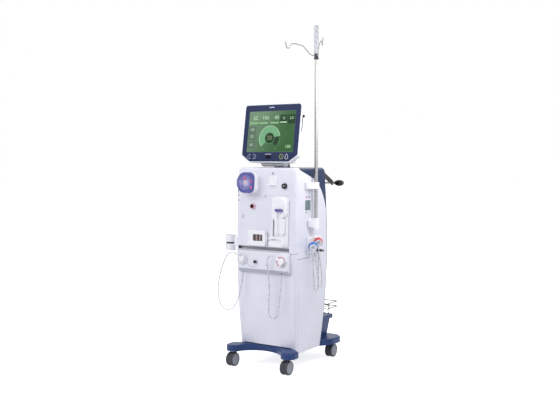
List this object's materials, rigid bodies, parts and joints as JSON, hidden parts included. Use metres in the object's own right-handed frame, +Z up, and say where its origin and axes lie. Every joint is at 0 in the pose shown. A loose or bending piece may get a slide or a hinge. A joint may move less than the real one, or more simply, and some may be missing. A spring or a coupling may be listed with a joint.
{
  "type": "dialysis machine",
  "caption": "Mobile haemodialysis machine: castered base, cabinet with blood and syringe pumps, tilting touch-screen, dialyser clip, infusion pole, canister stand.",
  "frame": {"origin": "on the floor under the middle of the whole machine's box, hoses left out", "axes": "+X to the operator's right along the front, +Y to the back, +Z up"},
  "size_m": [0.6326, 0.599, 1.857],
  "materials": {
    "navy": "satin moulded",
    "white": "satin moulded",
    "grey": "fine texture",
    "dark": "fine texture",
    "steel": "brushed",
    "chrome": "polished",
    "black_steel": "satin",
    "motor": "satin",
    "screen": "glossy",
    "violet_clear": "clear tinted",
    "pale_grip": "ribbed",
    "hydraulic": "satin",
    "electronics": "plain",
    "blue": "moulded",
    "red": "moulded",
    "tyre": "matte",
    "hose": "translucent silicone"
  },
  "bodies": {
    "machine": {"base_cover": "navy", "base_frame": "steel", "front_panel": "white", "front_door": "white", "side_panel_right": "white", "side_panel_left": "white", "rear_cover": "navy", "drip_tray": "grey", "concentrate_shelf": "white", "connector_left": "white", "connector_right": "white", "front_fittings": "white", "pump_housing": "white", "pump_motor": "motor", "line_detector": "white", "syringe_pump": "white", "pressure_port_left": "red", "pressure_port_right": "dark", "holder_bracket": "grey", "coupling_block": "white", "coupling_blue": "blue", "coupling_red": "red", "pole_brackets": "white", "pole_tube": "steel", "monitor_pedestal": "navy", "handle_straps": "black_steel", "handle_bar": "chrome", "wire_rack": "black_steel", "canister_stand": "navy", "chassis": "steel", "hydraulic_unit": "hydraulic", "electronics": "electronics", "hose_left": "hose", "hose_front": "hose", "hose_blue": "hose", "hose_red": "hose"},
    "caster_fl": {"caster_fork_fl": "grey"},
    "wheels_fl": {"caster_wheels_fl": "tyre"},
    "caster_fr": {"caster_fork_fr": "grey"},
    "wheels_fr": {"caster_wheels_fr": "tyre"},
    "caster_rl": {"caster_fork_rl": "grey"},
    "wheels_rl": {"caster_wheels_rl": "tyre"},
    "caster_rr": {"caster_fork_rr": "grey"},
    "wheels_rr": {"caster_wheels_rr": "tyre"},
    "swivel_foot": {"monitor_neck": "white"},
    "monitor": {"monitor_bezel": "navy", "monitor_screen": "screen", "monitor_shell": "white", "tilt_bracket": "white"},
    "power_key": {"power_key": "grey"},
    "side_button": {"side_button": "white"},
    "rotor": {"pump_rotor": "white", "pump_rollers": "steel"},
    "pump_cover": {"pump_cover": "violet_clear"},
    "detector_door": {"line_detector_door": "white"},
    "syringe_carriage": {"syringe_carriage": "grey"},
    "holder_arm": {"holder_arm": "white"},
    "mast": {"pole_rod": "steel", "iv_hooks": "steel", "pole_sleeve": "pale_grip"}
  },
  "joints": [
    {"name": "caster_swivel_fl", "type": "hinge", "parent": "machine", "child": "caster_fl", "pos_m": [-0.19131, -0.24101, 0.084], "axis": [0, 0, 1], "continuous": true},
    {"name": "wheel_spin_fl", "type": "hinge", "parent": "caster_fl", "child": "wheels_fl", "pos_m": [-0.19131, -0.26201, 0.0375], "axis": [1, 0, 0], "continuous": true},
    {"name": "caster_swivel_fr", "type": "hinge", "parent": "machine", "child": "caster_fr", "pos_m": [0.16069, -0.24101, 0.084], "axis": [0, 0, 1], "continuous": true},
    {"name": "wheel_spin_fr", "type": "hinge", "parent": "caster_fr", "child": "wheels_fr", "pos_m": [0.16069, -0.26201, 0.0375], "axis": [1, 0, 0], "continuous": true},
    {"name": "caster_swivel_rl", "type": "hinge", "parent": "machine", "child": "caster_rl", "pos_m": [-0.19131, 0.23699, 0.084], "axis": [0, 0, 1], "continuous": true},
    {"name": "wheel_spin_rl", "type": "hinge", "parent": "caster_rl", "child": "wheels_rl", "pos_m": [-0.19131, 0.21599, 0.0375], "axis": [1, 0, 0], "continuous": true},
    {"name": "caster_swivel_rr", "type": "hinge", "parent": "machine", "child": "caster_rr", "pos_m": [0.16069, 0.23699, 0.084], "axis": [0, 0, 1], "continuous": true},
    {"name": "wheel_spin_rr", "type": "hinge", "parent": "caster_rr", "child": "wheels_rr", "pos_m": [0.16069, 0.21599, 0.0375], "axis": [1, 0, 0], "continuous": true},
    {"name": "monitor_pan", "type": "hinge", "parent": "machine", "child": "swivel_foot", "pos_m": [-0.01531, -0.03001, 1.112], "axis": [0, 0, 1], "range_deg": [-45, 15]},
    {"name": "monitor_tilt", "type": "hinge", "parent": "swivel_foot", "child": "monitor", "pos_m": [-0.01531, -0.04701, 1.152], "axis": [1, 0, 0], "range_deg": [-20, 5]},
    {"name": "power_key_press", "type": "slide", "parent": "monitor", "child": "power_key", "axis": [1, 0, 0], "range_m": [-0.0015, 0], "stiffness_N_per_m": 400, "springref_m": 0.001},
    {"name": "side_button_press", "type": "slide", "parent": "machine", "child": "side_button", "axis": [1, 0, 0], "range_m": [-0.0015, 0], "stiffness_N_per_m": 400, "springref_m": 0.001},
    {"name": "pump_rotor_spin", "type": "hinge", "parent": "machine", "child": "rotor", "pos_m": [-0.12131, -0.18967, 1.006], "axis": [0, -0.9968, 0.0793], "continuous": true},
    {"name": "pump_cover_hinge", "type": "hinge", "parent": "machine", "child": "pump_cover", "pos_m": [-0.18081, -0.23503, 1.00961], "axis": [0, -0.0793, -0.9968], "range_deg": [0, 110]},
    {"name": "detector_door_hinge", "type": "hinge", "parent": "machine", "child": "detector_door", "pos_m": [0.00429, -0.21659, 0.70923], "axis": [0, 0.0183, 0.9998], "range_deg": [0, 95]},
    {"name": "carriage_slide", "type": "slide", "parent": "machine", "child": "syringe_carriage", "axis": [0, 0.0374, 0.9993], "range_m": [0, 0.075]},
    {"name": "holder_swing", "type": "hinge", "parent": "machine", "child": "holder_arm", "pos_m": [-0.22631, -0.14501, 0.668], "axis": [0, 0, 1], "range_deg": [-60, 60]},
    {"name": "mast_slide", "type": "slide", "parent": "machine", "child": "mast", "axis": [0, 0, 1], "range_m": [-0.055, 0.2]}
  ]
}
